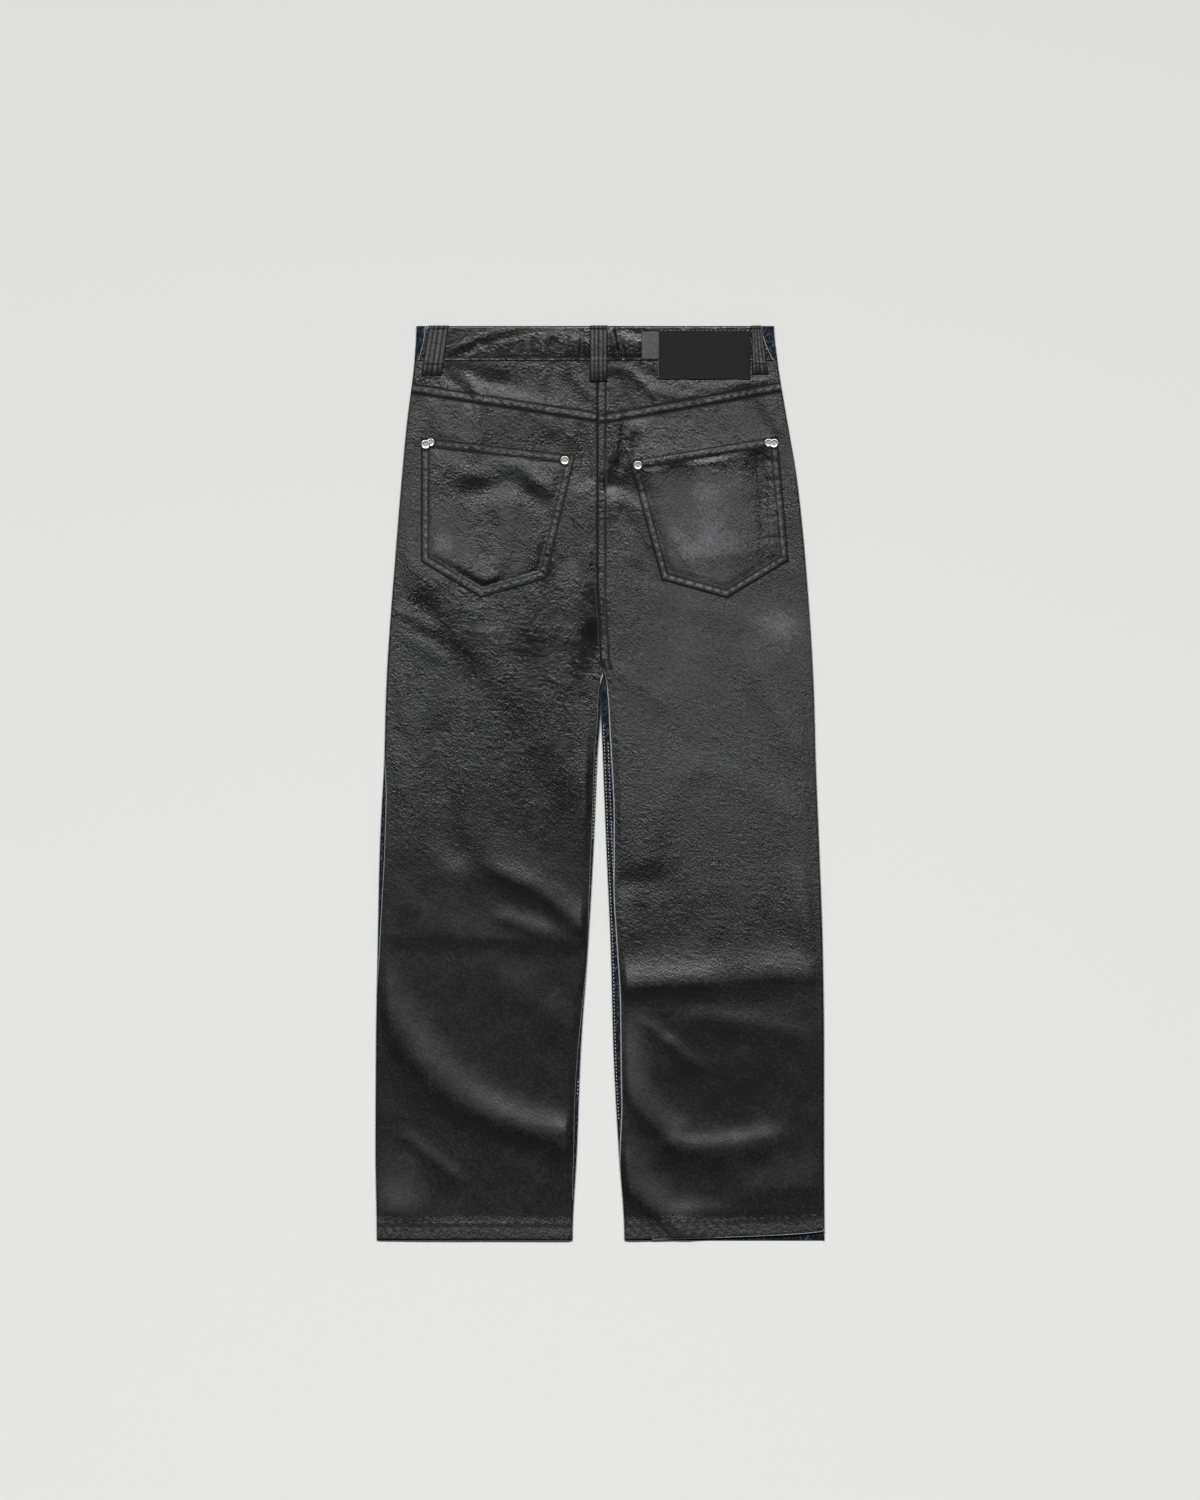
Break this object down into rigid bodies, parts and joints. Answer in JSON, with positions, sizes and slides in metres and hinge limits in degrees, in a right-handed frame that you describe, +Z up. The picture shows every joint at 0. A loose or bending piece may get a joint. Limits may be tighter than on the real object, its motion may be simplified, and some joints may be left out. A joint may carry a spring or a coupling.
{
  "type": "waxed jeans",
  "caption": "Straight-leg jeans laid flat, back up: waxed black back panels over an unwaxed indigo front, with riveted patch pockets, ribbed belt loops and a blank leather patch.",
  "frame": {"origin": "centre of the bounding box at its base: the floor under the middle of the garment", "axes": "+X across the hips towards the wearer's right, +Y along the legs up to the waist, +Z up, away from the floor, out of the waxed back"},
  "size_m": [0.516, 1.051, 0.0121],
  "materials": {
    "waxed_denim": "black waxed cotton twill, semi-gloss",
    "indigo_denim": "dark indigo denim, matt",
    "patch_leather": "smooth black leather, satin",
    "rivet_metal": "silver-coloured rivets, satin",
    "button_metal": "silver-coloured button, satin"
  },
  "bodies": {
    "root": {"back_left": "waxed_denim", "back_right": "waxed_denim", "yoke_left": "waxed_denim", "yoke_right": "waxed_denim", "waistband_back": "waxed_denim", "pocket_left": "waxed_denim", "pocket_right": "waxed_denim", "loop_left": "waxed_denim", "loop_centre": "waxed_denim", "loop_right": "waxed_denim", "patch": "patch_leather", "patch_tab": "patch_leather", "rivet_left_outer": "rivet_metal", "rivet_left_lapped": "rivet_metal", "rivet_left_inner": "rivet_metal", "rivet_right_outer": "rivet_metal", "rivet_right_lapped": "rivet_metal", "rivet_right_inner": "rivet_metal", "front_left": "indigo_denim", "front_right": "indigo_denim", "fly": "indigo_denim", "waistband_front_left": "indigo_denim", "waistband_front_right": "indigo_denim", "button": "button_metal"}
  },
  "joints": []
}
